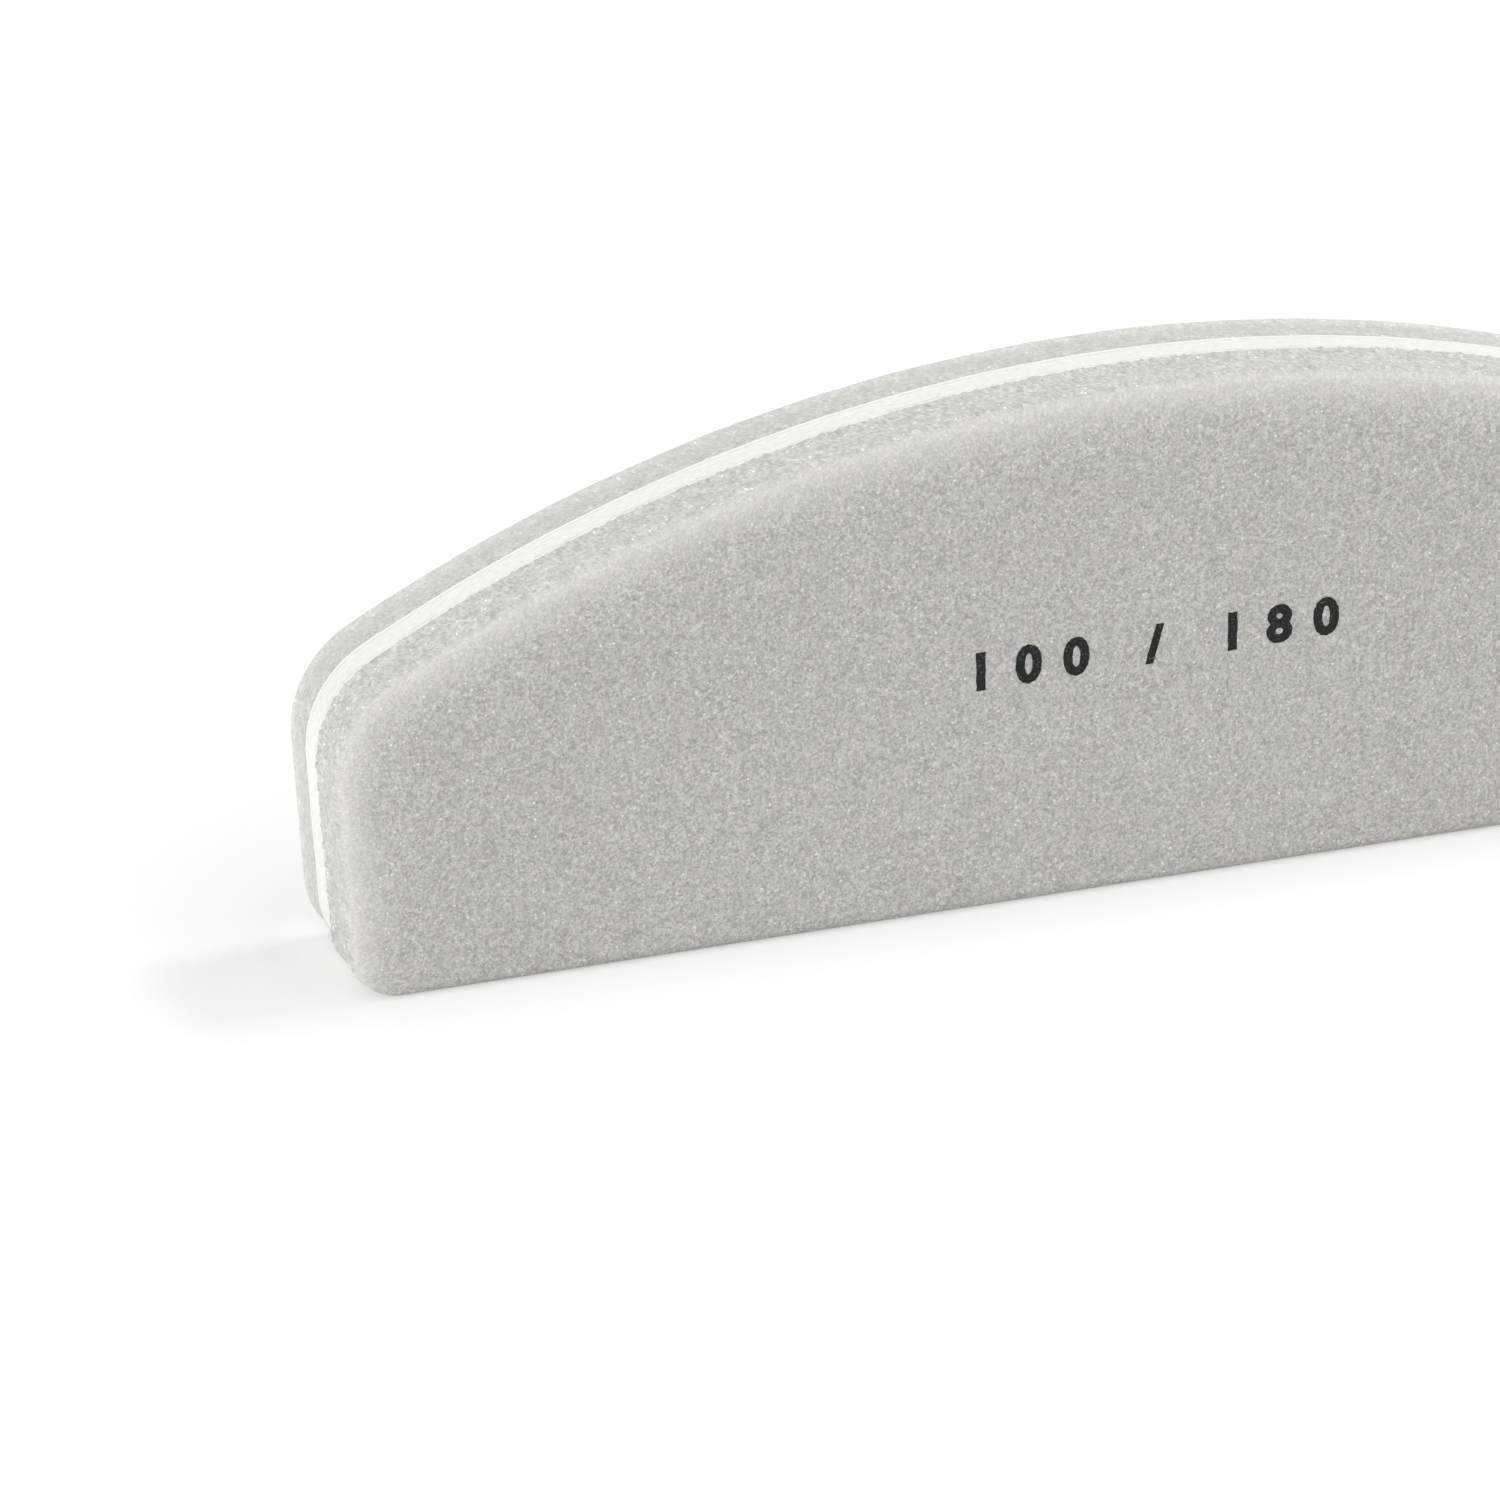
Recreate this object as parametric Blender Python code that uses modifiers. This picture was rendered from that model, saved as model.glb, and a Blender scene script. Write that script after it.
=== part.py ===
"""Half-moon nail buffer: foam pads with a grit coat, bonded to both faces of a stiff core plate.

Metres, +Z up. The buffer stands on its straight edge, which runs along X. Y goes through the layers, and the
origin is the middle of the base. Each layer is its own object.
"""

from math import atan2, cos, pi, radians, sin, sqrt

import bmesh
import bpy

# Half-moon outline of the pads, seen along Y
LENGTH = 0.0885
HEIGHT = 0.028
BACK_RADIUS = 0.085
TOP_CORNER_RADIUS = 0.006
FOOT_CORNER_RADIUS = 0.0027
END_LEAN = radians(3.5)  # both ends lean outwards as they rise

# Layers from the middle outwards
CORE_THICKNESS = 0.00175
GLUE_THICKNESS = 0.0001
FOAM_THICKNESS = 0.0033
GRIT_THICKNESS = 0.00025
BOND_GAP = 0.00002  # clearance between neighbouring layers
CORE_SETBACK = 0.00003  # on the back and ends the foam springs out past the core after the cut
CORE_EDGE_RADIUS = 0.00008
GLUE_SETBACK = 0.0004  # the glue film stops short of the foam's edge

# Edge of a working face, where the cut has drawn the foam round
RIM_RADIUS = 0.0009
SHOULDER_RADIUS = 0.0045
SHOULDER_TILT = radians(22)  # the rim passes into the wide shoulder at this angle off the face
FOOT_EDGE_RADIUS = 0.00045  # the edge along the base is crisper
SIDE_DISH = 0.00012  # the cut side is drawn in at half the foam's depth
SHARPEST_CORNER = 0.0001

# Points on each round stretch
FOOT_CORNER_STEPS = 6
TOP_CORNER_STEPS = 8
BACK_STEPS = 32
RIM_STEPS = 5
SHOULDER_STEPS = 3
DISH_STEPS = 4
CORE_EDGE_STEPS = 2

SHARP_ANGLE = radians(40)
FRONT, REAR = -1, 1

# Outer surface of a pad's grit, and the glue's and the pad's places, measured out from what carries them
PAD_FACE = FOAM_THICKNESS + BOND_GAP + GRIT_THICKNESS
GLUE_MIDDLE = CORE_THICKNESS / 2 + BOND_GAP + GLUE_THICKNESS / 2
PAD_SEAT = CORE_THICKNESS / 2 + BOND_GAP + GLUE_THICKNESS + BOND_GAP
UNDER_GRIT = GRIT_THICKNESS + BOND_GAP


def clear_scene():
    for obj in list(bpy.data.objects):
        bpy.data.objects.remove(obj, do_unlink=True)


def arc(centre, radius, start, end, steps):
    """Points along an arc, with both of its ends."""
    angles = [start + (end - start) * step / steps for step in range(steps + 1)]
    return [(centre[0] + radius * cos(angle), centre[1] + radius * sin(angle)) for angle in angles]


def half_moon(inset, foot):
    """(x, z) round the outline, drawn in by inset on its back and ends, with its straight edge at height foot."""
    back_radius = BACK_RADIUS - inset
    back_z = HEIGHT - BACK_RADIUS
    corner_radius = max(TOP_CORNER_RADIUS - inset, SHARPEST_CORNER)
    corner_x = LENGTH / 2 - inset - corner_radius
    corner_z = back_z + sqrt((back_radius - corner_radius) ** 2 - corner_x**2)
    back_start = atan2(corner_z - back_z, corner_x)

    foot_radius = max(FOOT_CORNER_RADIUS - inset, SHARPEST_CORNER)
    foot_z = foot + foot_radius
    across = corner_radius - foot_radius
    down_end = (corner_z - across * sin(END_LEAN) - foot_z) / cos(END_LEAN)
    foot_x = corner_x + across * cos(END_LEAN) - down_end * sin(END_LEAN)

    right = arc((foot_x, foot_z), foot_radius, -pi / 2, -END_LEAN, FOOT_CORNER_STEPS)
    right += arc((corner_x, corner_z), corner_radius, -END_LEAN, back_start, TOP_CORNER_STEPS)
    back = arc((0, back_z), back_radius, back_start, pi - back_start, BACK_STEPS)[1:-1]
    left = [(-x, z) for x, z in reversed(right)]
    return right + back + left


def foot_height(depth, skin):
    """Height of a pad's straight edge at this depth, skin below the surface: flat, then round into the face."""
    past_flat = depth - (PAD_FACE - FOOT_EDGE_RADIUS)
    if past_flat <= 0:
        return skin
    return FOOT_EDGE_RADIUS - sqrt(max((FOOT_EDGE_RADIUS - skin) ** 2 - past_flat**2, 0))


def rim_sections(skin):
    """(inset, depth) from the side of a pad over its rim and shoulder to the flat face, skin below the surface."""
    shoulder_inset = RIM_RADIUS + (SHOULDER_RADIUS - RIM_RADIUS) * sin(SHOULDER_TILT)
    shoulder_depth = PAD_FACE - SHOULDER_RADIUS
    rim_depth = shoulder_depth + (SHOULDER_RADIUS - RIM_RADIUS) * cos(SHOULDER_TILT)
    rim = arc((RIM_RADIUS, rim_depth), RIM_RADIUS - skin, pi, pi / 2 + SHOULDER_TILT, RIM_STEPS)
    shoulder = arc(
        (shoulder_inset, shoulder_depth),
        SHOULDER_RADIUS - skin,
        pi / 2 + SHOULDER_TILT,
        pi / 2,
        SHOULDER_STEPS,
    )
    return rim + shoulder[1:]


def side_sections(lip_depth):
    """(inset, depth) up the cut side of the foam, slightly dished, from its bonded face to the grit's lip."""
    shares = [step / DISH_STEPS for step in range(DISH_STEPS + 1)]
    return [(SIDE_DISH * 4 * share * (1 - share), share * lip_depth) for share in shares]


def ring(inset, depth, skin):
    """One section of a pad: its outline at this depth, as points in space."""
    return [(x, depth, z) for x, z in half_moon(inset, foot_height(depth, skin))]


def cover(skin):
    """The rings of a pad's rim, shoulder and face, skin below the surface."""
    return [ring(inset, depth, skin) for inset, depth in rim_sections(skin)]


def loft(name, rings):
    """A closed mesh through rings of like points, filled at the first and the last."""
    bm = bmesh.new()
    loops = [[bm.verts.new(point) for point in points] for points in rings]
    for near, far in zip(loops, loops[1:]):
        for side in range(len(near)):
            bm.faces.new((near[side - 1], near[side], far[side], far[side - 1]))
    bm.faces.new(loops[0])
    bm.faces.new(loops[-1])
    bmesh.ops.recalc_face_normals(bm, faces=bm.faces)
    mesh = bpy.data.meshes.new(name)
    bm.to_mesh(mesh)
    bm.free()
    mesh.shade_smooth()
    mesh.set_sharp_from_angle(angle=SHARP_ANGLE)
    return mesh


def foam_mesh():
    """A pad: dished side, a step in under the grit's lip, then the rim and face under the grit."""
    lip_depth = rim_sections(0)[0][1] - BOND_GAP
    side = [ring(inset, depth, 0) for inset, depth in side_sections(lip_depth)]
    step = ring(UNDER_GRIT, lip_depth, UNDER_GRIT)
    return loft("foam_pad", side + [step] + cover(UNDER_GRIT))


def grit_mesh():
    """The grit coat: its inner surface out to the lip, then its outer surface back to the face."""
    return loft("grit_coat", cover(GRIT_THICKNESS)[::-1] + cover(0))


def flat_plate(name, inset, foot, thickness):
    """A curve object: the outline filled and extruded, in its own XY plane."""
    curve = bpy.data.curves.new(name, "CURVE")
    curve.dimensions = "2D"
    curve.fill_mode = "BOTH"
    curve.extrude = thickness / 2
    outline = half_moon(inset, foot)
    spline = curve.splines.new("POLY")
    spline.points.add(len(outline) - 1)
    for point, (x, z) in zip(spline.points, outline):
        point.co = (x, z, 0, 1)
    spline.use_cyclic_u = True
    plate = bpy.data.objects.new(name, curve)
    plate.rotation_euler.x = pi / 2
    return plate


def principled(name, colour, roughness):
    """A plain non-metallic material. The colour is linear."""
    material = bpy.data.materials.new(name)
    material.use_nodes = True
    shader = material.node_tree.nodes["Principled BSDF"]
    shader.inputs["Base Color"].default_value = (*colour, 1)
    shader.inputs["Roughness"].default_value = roughness
    shader.inputs["Metallic"].default_value = 0
    material.diffuse_color = (*colour, 1)
    return material


def core_plastic():
    return principled("core_plastic", (0.86, 0.85, 0.81), 0.4)


def clear_glue():
    return principled("clear_glue", (0.72, 0.71, 0.66), 0.3)


def grey_foam():
    return principled("grey_foam", (0.56, 0.57, 0.56), 0.95)


def grey_grit():
    return principled("grey_grit", (0.46, 0.455, 0.44), 0.85)


def add(collection, stem, obj, material, side, offset):
    """Puts a layer in the scene, at its offset from the middle of the core plate."""
    if not obj.data.materials:
        obj.data.materials.append(material)
    obj.location.y = side * offset
    obj.parent = stem
    collection.objects.link(obj)


def add_core_plate(collection, stem):
    plate = flat_plate("core_plate", CORE_SETBACK, 0, CORE_THICKNESS)
    weld = plate.modifiers.new("close caps", "WELD")
    weld.merge_threshold = BOND_GAP / 2
    edge = plate.modifiers.new("round edges", "BEVEL")
    edge.width = CORE_EDGE_RADIUS
    edge.segments = CORE_EDGE_STEPS
    edge.limit_method = "ANGLE"
    edge.angle_limit = SHARP_ANGLE
    add(collection, stem, plate, core_plastic(), REAR, 0)


def add_glue_films(collection, stem):
    glue = clear_glue()
    for name, side in (("front_glue_film", FRONT), ("rear_glue_film", REAR)):
        film = flat_plate(name, GLUE_SETBACK, GLUE_SETBACK, GLUE_THICKNESS)
        add(collection, stem, film, glue, side, GLUE_MIDDLE)


def add_pad_layer(collection, stem, kind, mesh, material):
    """The rear piece and, turned half round, the front one, from one mesh."""
    for name, side in (("front_" + kind, FRONT), ("rear_" + kind, REAR)):
        piece = bpy.data.objects.new(name, mesh)
        if side == FRONT:
            piece.rotation_euler.z = pi
        add(collection, stem, piece, material, side, PAD_SEAT)


def main():
    clear_scene()
    collection = bpy.data.collections.new("half_moon_nail_buffer")
    bpy.context.scene.collection.children.link(collection)
    stem = bpy.data.objects.new("buffer_middle", None)
    collection.objects.link(stem)
    add_core_plate(collection, stem)
    add_glue_films(collection, stem)
    add_pad_layer(collection, stem, "foam_pad", foam_mesh(), grey_foam())
    add_pad_layer(collection, stem, "grit_coat", grit_mesh(), grey_grit())


main()
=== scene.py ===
# The looks of a half moon nail buffer that stands on its straight edge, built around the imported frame.
# Metres, +Z up. X runs along the straight edge, and the front working face looks along -Y.
from math import atan2, cos, pi, radians, sin, sqrt, tan

import bmesh
import bpy
from mathutils import Matrix, Vector, noise


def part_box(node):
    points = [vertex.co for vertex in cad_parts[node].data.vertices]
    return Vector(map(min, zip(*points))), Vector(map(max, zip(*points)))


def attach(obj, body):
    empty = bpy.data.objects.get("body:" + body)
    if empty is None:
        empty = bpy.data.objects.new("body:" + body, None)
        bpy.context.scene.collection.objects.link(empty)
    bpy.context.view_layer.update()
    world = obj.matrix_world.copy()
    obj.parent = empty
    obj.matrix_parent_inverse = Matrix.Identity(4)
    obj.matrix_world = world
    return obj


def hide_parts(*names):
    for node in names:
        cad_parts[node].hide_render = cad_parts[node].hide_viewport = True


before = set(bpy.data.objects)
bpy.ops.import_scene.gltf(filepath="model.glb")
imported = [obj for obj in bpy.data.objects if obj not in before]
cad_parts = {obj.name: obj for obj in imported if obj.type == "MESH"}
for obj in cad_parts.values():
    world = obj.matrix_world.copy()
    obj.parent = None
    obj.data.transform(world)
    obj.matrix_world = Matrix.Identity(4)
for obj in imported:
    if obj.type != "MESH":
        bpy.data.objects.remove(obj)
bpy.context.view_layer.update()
print("frame loaded:", ", ".join(sorted(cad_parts)))

mm = 0.001
front, rear = -1, 1
samePoint = 0.0005 * mm  # points closer than this are one
rounding = 1e-7  # how far a point may seem to lie past the end of its own stretch
onPlane = 1e-8  # a point this near a cutting plane counts as on it
softFold, crispFold = radians(50), radians(30)  # a fold sharper than this shows as an edge
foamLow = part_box("rear_foam_pad")[0]
coatLow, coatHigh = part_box("rear_grit_coat")

# The outline seen along Y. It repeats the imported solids, but for the rear foot corner.
halfMoon = {
    "length": coatHigh.x - coatLow.x,
    "height": coatHigh.z - coatLow.z,
    "backRadius": 85 * mm,
    "topCorner": 6 * mm,
    "footCorner": {front: 2.7 * mm, rear: 3.8 * mm},  # the core is cut like the rear pad
    "endLean": radians(3.5),
    "baseStep": 0.2 * mm,  # spacing of the points along the base
    "edgeStep": 0.125 * mm,  # and round the rest
}

# The section of a pad. Depths count from its seat on the glue film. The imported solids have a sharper
# foot edge and none of the marks of the cut.
padShape = {
    "seat": foamLow.y,
    "faceDepth": coatHigh.y - foamLow.y,
    "rimRadius": 0.9 * mm,
    "shoulderRadius": 4.5 * mm,
    "shoulderTilt": radians(22),
    "footEdge": 0.8 * mm,
    "sideDish": 0.12 * mm,
    "coatThickness": 0.25 * mm,
    "underCoat": 0.27 * mm,
    "seam": 0.006 * mm,  # between the foam's side and the lip of the coat
    "cutFlare": 0.13 * mm,  # the cut has pressed the front pad's edge over the glue, as far as the core
    "cutFlareWidth": 0.37 * mm,
    "cutDrag": 0.105 * mm,  # and dragged the rear film over the edge of the rear pad
    "cutDragDeep": 0.06 * mm,
    "sideRings": 21,
    "innerRings": (4, 3),  # on the rim and on the shoulder, under the coat
    "outerRings": (9, 12),
}


def outlineParts(footCorner):
    # centres of the round stretches, and where each one ends
    backZ = halfMoon["height"] - halfMoon["backRadius"]
    topX = halfMoon["length"] / 2 - halfMoon["topCorner"]
    topZ = backZ + sqrt((halfMoon["backRadius"] - halfMoon["topCorner"]) ** 2 - topX**2)
    across = halfMoon["topCorner"] - footCorner
    lean = halfMoon["endLean"]
    endLength = (topZ - across * sin(lean) - footCorner) / cos(lean)
    footX = topX + across * cos(lean) - endLength * sin(lean)
    return {
        "back": Vector((0, 0, backZ)),
        "top": Vector((topX, 0, topZ)),
        "foot": Vector((footX, 0, footCorner)),
        "backStart": atan2(topZ - backZ, topX),
        "endLength": endLength,
        "endNormal": Vector((cos(lean), 0, -sin(lean))),
        "endUp": Vector((sin(lean), 0, cos(lean))),
    }


partsOf = {side: outlineParts(corner) for side, corner in halfMoon["footCorner"].items()}


def mirrored(vector, x):
    return Vector((-vector.x, vector.y, vector.z)) if x < 0 else vector


def outwardAt(point, parts):
    # outward direction of the outline at one of its own points, and the share that follows the foot
    across = Vector((abs(point.x), 0, point.z))
    if point.z < samePoint:
        return Vector((0, 0, -1)), 1
    fromFoot = across - parts["foot"]
    fromTop = across - parts["top"]
    if fromFoot.dot(parts["endUp"]) < rounding and fromFoot.x > 0:
        return mirrored(fromFoot.normalized(), point.x), 1
    if fromTop.dot(parts["endUp"]) < rounding and fromTop.x > 0:
        share = 1 - fromFoot.dot(parts["endUp"]) / parts["endLength"]
        return mirrored(parts["endNormal"], point.x), max(share, 0)
    if atan2(fromTop.z, fromTop.x) < parts["backStart"] and fromTop.x > 0:
        return mirrored(fromTop.normalized(), point.x), 0
    return mirrored((across - parts["back"]).normalized(), point.x), 0


def edgeDistance(x, z):
    # how far inside the back and the ends a point lies, the same for both pads
    parts = partsOf[front]
    across = Vector((abs(x), 0, z))
    fromTop = across - parts["top"]
    toBack = halfMoon["backRadius"] - (across - parts["back"]).length
    toEnd = halfMoon["topCorner"] - fromTop.dot(parts["endNormal"])
    aboveEnd = fromTop.dot(parts["endUp"]) > 0 and fromTop.x > 0
    inCorner = aboveEnd and atan2(fromTop.z, fromTop.x) < parts["backStart"]
    return halfMoon["topCorner"] - fromTop.length if inCorner else min(toBack, toEnd)


outlineTurn = (0, -1, 0)  # a spin round this goes from the base up the right end


def straightOn(bm, vert, move, step):
    # a chain of points from a point's place in a straight line
    steps = round(move.length / step)
    stride = move / steps
    spun = bmesh.ops.spin(bm, geom=[vert], cent=vert.co, axis=outlineTurn, angle=0, dvec=stride, steps=steps)
    return spun["geom_last"][0]


def roundOn(bm, vert, centre, radius, angle, step):
    # a chain of points round a centre
    steps = round(radius * angle / step)
    spun = bmesh.ops.spin(bm, geom=[vert], cent=centre, axis=outlineTurn, angle=angle, steps=steps)
    return spun["geom_last"][0]


def drawOutline(bm, side):
    # the right half from the middle of the base to the crown, then its mirror image
    parts, lean, step = partsOf[side], halfMoon["endLean"], halfMoon["edgeStep"]
    tip = bmesh.ops.create_vert(bm, co=(0, 0, 0))["vert"][0]
    tip = straightOn(bm, tip, Vector((parts["foot"].x, 0, 0)), halfMoon["baseStep"])
    tip = roundOn(bm, tip, parts["foot"], halfMoon["footCorner"][side], pi / 2 - lean, step)
    tip = straightOn(bm, tip, parts["endUp"] * parts["endLength"], step)
    tip = roundOn(bm, tip, parts["top"], halfMoon["topCorner"], lean + parts["backStart"], step)
    roundOn(bm, tip, parts["back"], halfMoon["backRadius"], pi / 2 - parts["backStart"], step)
    bmesh.ops.mirror(bm, geom=bm.verts[:] + bm.edges[:], matrix=Matrix(), merge_dist=samePoint, axis="X")
    bmesh.ops.remove_doubles(bm, verts=bm.verts, dist=samePoint)

    # each point keeps its place, its outward direction and the way that it slides with the foot
    home = bm.verts.layers.float_vector.new("home")
    outward = bm.verts.layers.float_vector.new("outward")
    slide = bm.verts.layers.float_vector.new("slide")
    for vert in bm.verts:
        normal, footShare = outwardAt(vert.co, parts)
        sideways = max(-1, min(1, vert.co.x / parts["foot"].x))
        vert[home] = vert.co
        vert[outward] = normal
        vert[slide] = Vector((-tan(lean) * sideways, 0, -1)) * footShare
    return bm.edges[:]


def footHeight(depth, skin):
    # how high the straight edge of a section lies, skin below the surface
    past = depth - (padShape["faceDepth"] - padShape["footEdge"])
    if past <= 0:
        return skin
    return padShape["footEdge"] - sqrt(max((padShape["footEdge"] - skin) ** 2 - past**2, 0))


def onArc(centre, radius, angle):
    # (inset, depth) on a round stretch, from 0 at the side to a quarter turn at the face
    return centre[0] - radius * cos(angle), centre[1] + radius * sin(angle)


def rimSections(skin, rimSteps, shoulderSteps):
    # (inset, depth) from the side over the rim and the wide shoulder to the flat face, skin below the surface
    rim, shoulder, tilt = padShape["rimRadius"], padShape["shoulderRadius"], padShape["shoulderTilt"]
    centre = rim + (shoulder - rim) * sin(tilt), padShape["faceDepth"] - shoulder
    rimCentre = rim, centre[1] + (shoulder - rim) * cos(tilt)
    rimTurn = pi / 2 - tilt
    sections = [onArc(rimCentre, rim - skin, rimTurn * step / rimSteps) for step in range(rimSteps + 1)]
    for step in range(1, shoulderSteps + 1):
        sections.append(onArc(centre, shoulder - skin, pi / 2 - tilt * (1 - step / shoulderSteps)))
    return sections


lipDepth = rimSections(0, 1, 1)[0][1]  # where the foam's side ends and the coat begins


def placeRing(bm, verts, side, inset, depth, skin):
    home = bm.verts.layers.float_vector["home"]
    outward = bm.verts.layers.float_vector["outward"]
    slide = bm.verts.layers.float_vector["slide"]
    foot = footHeight(depth, skin)
    for vert in verts:
        vert.co = vert[home] - vert[outward] * inset + vert[slide] * (inset - foot)
        vert.co.y = side * (padShape["seat"] + depth)


def growRing(bm, edges):
    # extrudes a ring and gives the new one's points and edges
    grown = bmesh.ops.extrude_edge_only(bm, edges=edges)["geom"]
    verts = {element for element in grown if isinstance(element, bmesh.types.BMVert)}
    newEdges = [element for element in grown if isinstance(element, bmesh.types.BMEdge)]
    return verts, [edge for edge in newEdges if edge.verts[0] in verts and edge.verts[1] in verts]


def sweepRings(bm, side, sections):
    # a closed skin through (inset, depth, skin) sections: gives what fills the last one
    first = edges = drawOutline(bm, side)
    placeRing(bm, bm.verts[:], side, *sections[0])
    for section in sections[1:]:
        verts, edges = growRing(bm, edges)
        placeRing(bm, verts, side, *section)
    bmesh.ops.contextual_create(bm, geom=first)
    return bmesh.ops.contextual_create(bm, geom=edges)["faces"]


def cutGrid(bm, faces, spacing):
    # cuts a flat face into a grid, so that it can be roughened
    for axis in (0, 2):
        normal = Vector((0, 0, 0))
        normal[axis] = 1
        places = [vert.co[axis] for face in faces for vert in face.verts]
        place, end = min(places) + spacing / 2, max(places) - spacing / 4
        while place < end:
            geom = {element for face in faces for element in (face, *face.edges, *face.verts)}
            plane = {"plane_co": normal * place, "plane_no": normal, "dist": onPlane}
            cut = bmesh.ops.bisect_plane(bm, geom=list(geom), **plane)["geom"]
            faces = [element for element in cut if isinstance(element, bmesh.types.BMFace)]
            place += spacing


def splitWide(bm):
    # faces of more than four sides become triangles
    bmesh.ops.triangulate(bm, faces=[face for face in bm.faces if len(face.verts) > 4])


def finishMesh(bm, name, fold=softFold):
    bmesh.ops.remove_doubles(bm, verts=bm.verts, dist=samePoint)
    splitWide(bm)
    bmesh.ops.recalc_face_normals(bm, faces=bm.faces)
    mesh = bpy.data.meshes.new(name)
    bm.to_mesh(mesh)
    bm.free()
    mesh.shade_smooth()
    mesh.set_sharp_from_angle(angle=fold)
    return mesh


def addPiece(name, mesh, material):
    piece = bpy.data.objects.new(name, mesh)
    mesh.materials.append(material)
    bpy.context.scene.collection.objects.link(piece)
    return piece


roughSurface = {
    "coatGrain": 0.016 * mm,  # height of the grains on the rim
    "coatGrainSize": 0.28 * mm,
    "coatFractal": (0.9, 2.0, 3),  # how fast its layers weaken, their step in size, and their number
    "faceShare": 0.4,  # of the coat's roughness on the flat face
    "faceFrom": (0.6 * mm, 2.6 * mm),  # in from the edge
    "coatWave": 0.02 * mm,
    "coatWaveSize": 3.5 * mm,
    "coatFades": 0.25 * mm,  # the roughness ends over this distance towards the lip
    "coatSkin": (0.02, 0.1 * mm),  # its outside faces outwards by more than this, or lies this near the edge
    "foamPit": 0.045 * mm,
    "foamPitSize": 0.26 * mm,
    "foamPitReach": (0.05, 0.5),  # from the middle of a cell, where 1 is its size
    "foamWave": 0.02 * mm,
    "foamWaveSize": 2.5 * mm,
    "foamFades": 0.3 * mm,  # the same towards the coat
    "foamSkin": (0.2 * mm, 0.1 * mm),  # its cut side lies this near the edge or the base
    "fray": 0.075 * mm,  # bits of foam that stand proud along the cut beside the core
    "frayFractal": (0.8, 2.0, 2),
    "frayAbove": (0.0, 0.5),
    "rearFray": 0.3,  # the rear pad is cut cleaner
    "fraySize": 0.2 * mm,
    "frayDepth": 0.35 * mm,
    "padShift": Vector((0.37, 0, 0.21)),  # sets the noise of the two pads apart
    "grainShift": 40,
    "frayShift": 70,
    "baseFrom": (0.6, 0.95),  # share of a surface's direction that points down, where it rests on the floor
    "faceGrid": 0.45 * mm,
}


def smoothShare(value, start, end):
    share = max(0.0, min(1.0, (value - start) / (end - start)))
    return share * share * (3 - 2 * share)


def offBase(normal):
    # 0 where the surface rests on the floor
    return 1 - smoothShare(-normal.z, *roughSurface["baseFrom"])


def coatHeight(point, inward, side):
    # how far the grit stands above its smooth shape
    look = roughSurface
    shift = look["padShift"] * side * look["grainShift"]
    grain = noise.fractal(point / look["coatGrainSize"] + shift, *look["coatFractal"])
    wave = noise.noise(point / look["coatWaveSize"] + shift)
    share = 1 - (1 - look["faceShare"]) * smoothShare(inward, *look["faceFrom"])
    return look["coatGrain"] * grain * share + look["coatWave"] * wave * share


def foamHeight(point, depth, side):
    # how far the cut foam stands above its smooth shape
    look = roughSurface
    shift = look["padShift"] * side
    cell = noise.voronoi(point / look["foamPitSize"] + shift * look["grainShift"])[0][0]
    pit = -look["foamPit"] * (1 - smoothShare(cell, *look["foamPitReach"]))
    wave = look["foamWave"] * noise.noise(point / look["foamWaveSize"] + shift * look["grainShift"])
    bits = noise.fractal(point / look["fraySize"] + shift * look["frayShift"], *look["frayFractal"])
    atCut = 1 - smoothShare(depth + padShape["cutFlare"], 0, look["frayDepth"])
    fray = look["fray"] * (1 if side == front else look["rearFray"])
    return pit * (1 - atCut) + wave + fray * smoothShare(bits, *look["frayAbove"]) * atCut


def buildFoam(side):
    bm = bmesh.new()
    start = -padShape["cutFlare"] if side == front else padShape["cutDrag"]
    setIn = padShape["cutFlareWidth"] if side == front else padShape["cutDragDeep"]
    end = lipDepth - padShape["seam"]
    sections = [(setIn, 0, setIn), (setIn, start, setIn)]
    for step in range(padShape["sideRings"] + 1):
        depth = start + (end - start) * step / padShape["sideRings"]
        share = max(0, depth / lipDepth)
        sections.append((padShape["sideDish"] * 4 * share * (1 - share), depth, 0))
    under = padShape["underCoat"]
    sections.append((under, end, under))
    sections += [(inset, depth, under) for inset, depth in rimSections(under, *padShape["innerRings"])]
    sweepRings(bm, side, sections)
    bmesh.ops.recalc_face_normals(bm, faces=bm.faces)
    bm.normal_update()
    nearEdge, nearBase = roughSurface["foamSkin"]
    for vert in bm.verts:
        depth = vert.co.y * side - padShape["seat"]
        onSide = edgeDistance(vert.co.x, vert.co.z) < nearEdge or vert.co.z < nearBase
        if onSide and start - samePoint < depth < end - padShape["seam"]:
            outward = Vector(vert.normal)
            outward.y = 0
            outward.normalize()
            toLip = smoothShare(lipDepth - depth, 0, roughSurface["foamFades"])
            vert.co += outward * foamHeight(vert.co, depth, side) * offBase(outward) * toLip
    return finishMesh(bm, "foam")


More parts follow.
